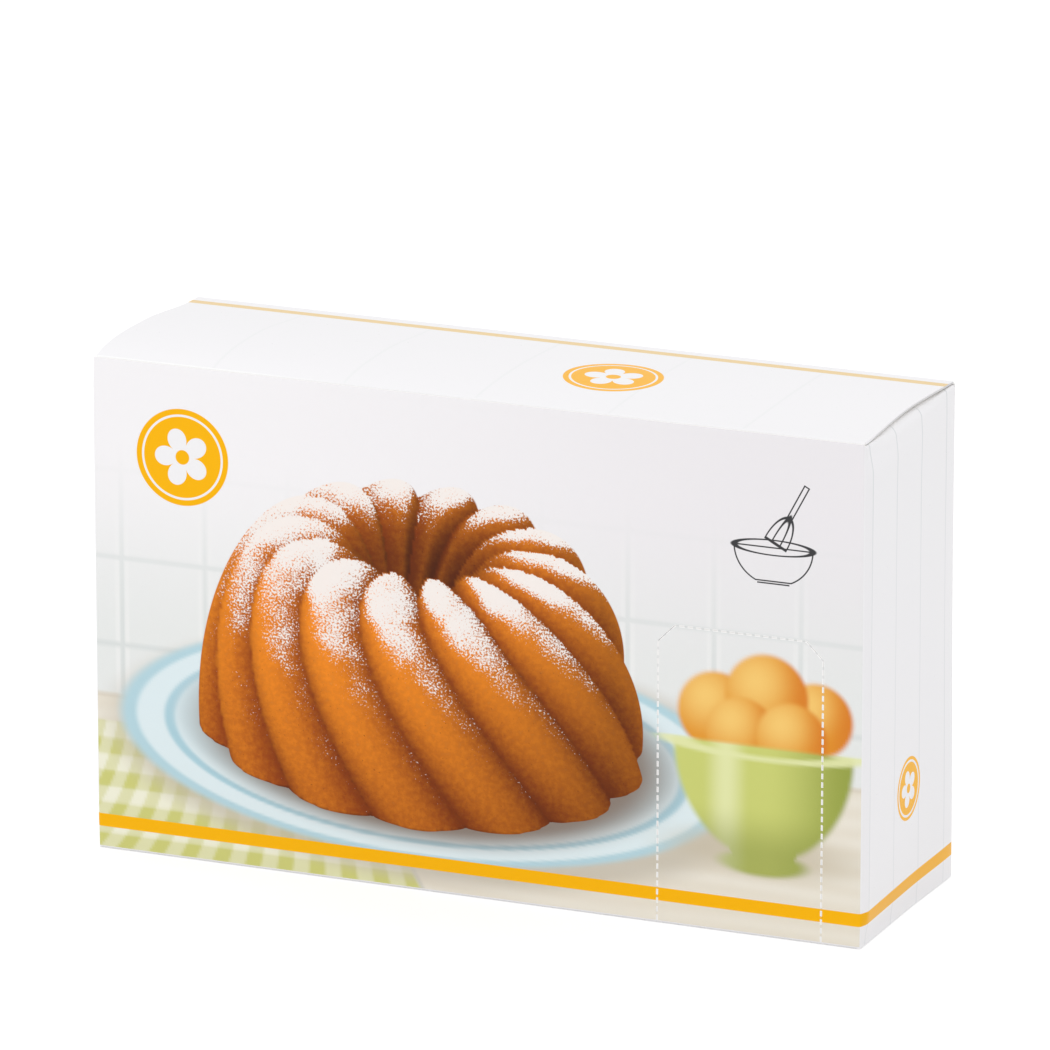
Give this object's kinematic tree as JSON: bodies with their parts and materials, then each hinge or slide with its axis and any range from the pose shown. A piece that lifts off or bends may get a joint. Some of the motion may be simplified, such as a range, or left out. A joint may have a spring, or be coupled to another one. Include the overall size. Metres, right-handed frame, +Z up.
{
  "type": "boxed lamb cake mould",
  "caption": "Closed white folding carton with tuck lid and tear-out flap, holding a two-part sheet-steel lamb cake mould, its collar and its clamp stand.",
  "frame": {"origin": "middle of the carton's underside", "axes": "+X to the right of the front panel, +Y from the front panel to the back panel, +Z up"},
  "size_m": [0.28, 0.085, 0.175],
  "materials": {
    "white_board": "gloss-coated",
    "printed_board": "gloss-coated print",
    "raw_board": "uncoated",
    "coated_steel": "non-stick satin",
    "tinned_steel": "bright tinned",
    "leaflet_paper": "uncoated"
  },
  "bodies": {
    "carton": {"front_panel": "printed_board", "back_panel": "white_board", "right_end_panel": "white_board", "left_end_panel": "white_board", "glue_flap": "raw_board", "bottom_front_flap": "white_board", "bottom_back_flap": "white_board", "bottom_right_flap": "white_board", "bottom_left_flap": "white_board", "recipe_leaflet": "leaflet_paper"},
    "lid": {"lid": "white_board"},
    "lid_tuck": {"lid_tuck": "white_board"},
    "right_dust_flap": {"dust_flap_right": "white_board"},
    "left_dust_flap": {"dust_flap_left": "white_board"},
    "display_flap": {"display_flap": "printed_board"},
    "stand": {"stand_base": "tinned_steel", "stand_right_post": "tinned_steel", "stand_left_post": "tinned_steel", "right_front_rivet": "tinned_steel", "right_back_rivet": "tinned_steel", "left_front_rivet": "tinned_steel", "left_back_rivet": "tinned_steel", "collar": "tinned_steel", "clip_pin": "tinned_steel"},
    "collar_clip": {"collar_clip": "tinned_steel"},
    "right_clamp": {"right_clamp_nut": "tinned_steel"},
    "left_clamp": {"left_clamp_nut": "tinned_steel"},
    "right_knob": {"right_knob": "coated_steel"},
    "left_knob": {"left_knob": "coated_steel"},
    "mould": {"mould_back_half": "coated_steel"},
    "mould_front": {"mould_front_half": "coated_steel"}
  },
  "joints": [
    {"name": "contents_lift", "type": "slide", "parent": "carton", "child": "stand", "axis": [0, 0, 1], "range_m": [0, 0.185]},
    {"name": "lid_fold", "type": "hinge", "parent": "carton", "child": "lid", "pos_m": [0, 0.0425, 0.175], "axis": [-1, 0, 0], "range_deg": [0, 258]},
    {"name": "tuck_fold", "type": "hinge", "parent": "lid", "child": "lid_tuck", "pos_m": [0, -0.04047, 0.17401], "axis": [1, 0, 0], "range_deg": [0, 50]},
    {"name": "right_dust_fold", "type": "hinge", "parent": "carton", "child": "right_dust_flap", "pos_m": [0.14, 0, 0.174], "axis": [0, 1, 0], "range_deg": [0, 219]},
    {"name": "left_dust_fold", "type": "hinge", "parent": "carton", "child": "left_dust_flap", "pos_m": [-0.14, 0, 0.174], "axis": [0, -1, 0], "range_deg": [0, 219]},
    {"name": "display_flap_fold", "type": "hinge", "parent": "carton", "child": "display_flap", "pos_m": [0.0965, -0.0425, 0.001], "axis": [1, 0, 0], "range_deg": [0, 90]},
    {"name": "mould_lift", "type": "slide", "parent": "stand", "child": "mould", "axis": [0, 0, 1], "range_m": [0, 0.04]},
    {"name": "front_half_part", "type": "slide", "parent": "mould", "child": "mould_front", "axis": [0, -1, 0], "range_m": [0, 0.008]},
    {"name": "clip_swing", "type": "hinge", "parent": "stand", "child": "collar_clip", "pos_m": [0.07405, 0, 0.0113], "axis": [0, 1, 0], "range_deg": [0, 60]},
    {"name": "right_clamp_slide", "type": "slide", "parent": "stand", "child": "right_clamp", "axis": [0, 0, -1], "range_m": [0, 0.075]},
    {"name": "left_clamp_slide", "type": "slide", "parent": "stand", "child": "left_clamp", "axis": [0, 0, -1], "range_m": [0, 0.075]},
    {"name": "right_knob_turn", "type": "hinge", "parent": "right_clamp", "child": "right_knob", "pos_m": [0.107, 0, 0.1048], "axis": [1, 0, 0], "continuous": true},
    {"name": "left_knob_turn", "type": "hinge", "parent": "left_clamp", "child": "left_knob", "pos_m": [-0.107, 0, 0.1048], "axis": [1, 0, 0], "continuous": true}
  ],
  "couplings": [
    {"joint": "lid_fold", "follows": "contents_lift", "rad_per_m": 24.34},
    {"joint": "right_dust_fold", "follows": "contents_lift", "rad_per_m": 20.66},
    {"joint": "left_dust_fold", "follows": "contents_lift", "rad_per_m": 20.66},
    {"joint": "mould_lift", "follows": "contents_lift", "ratio": 0.2162}
  ]
}
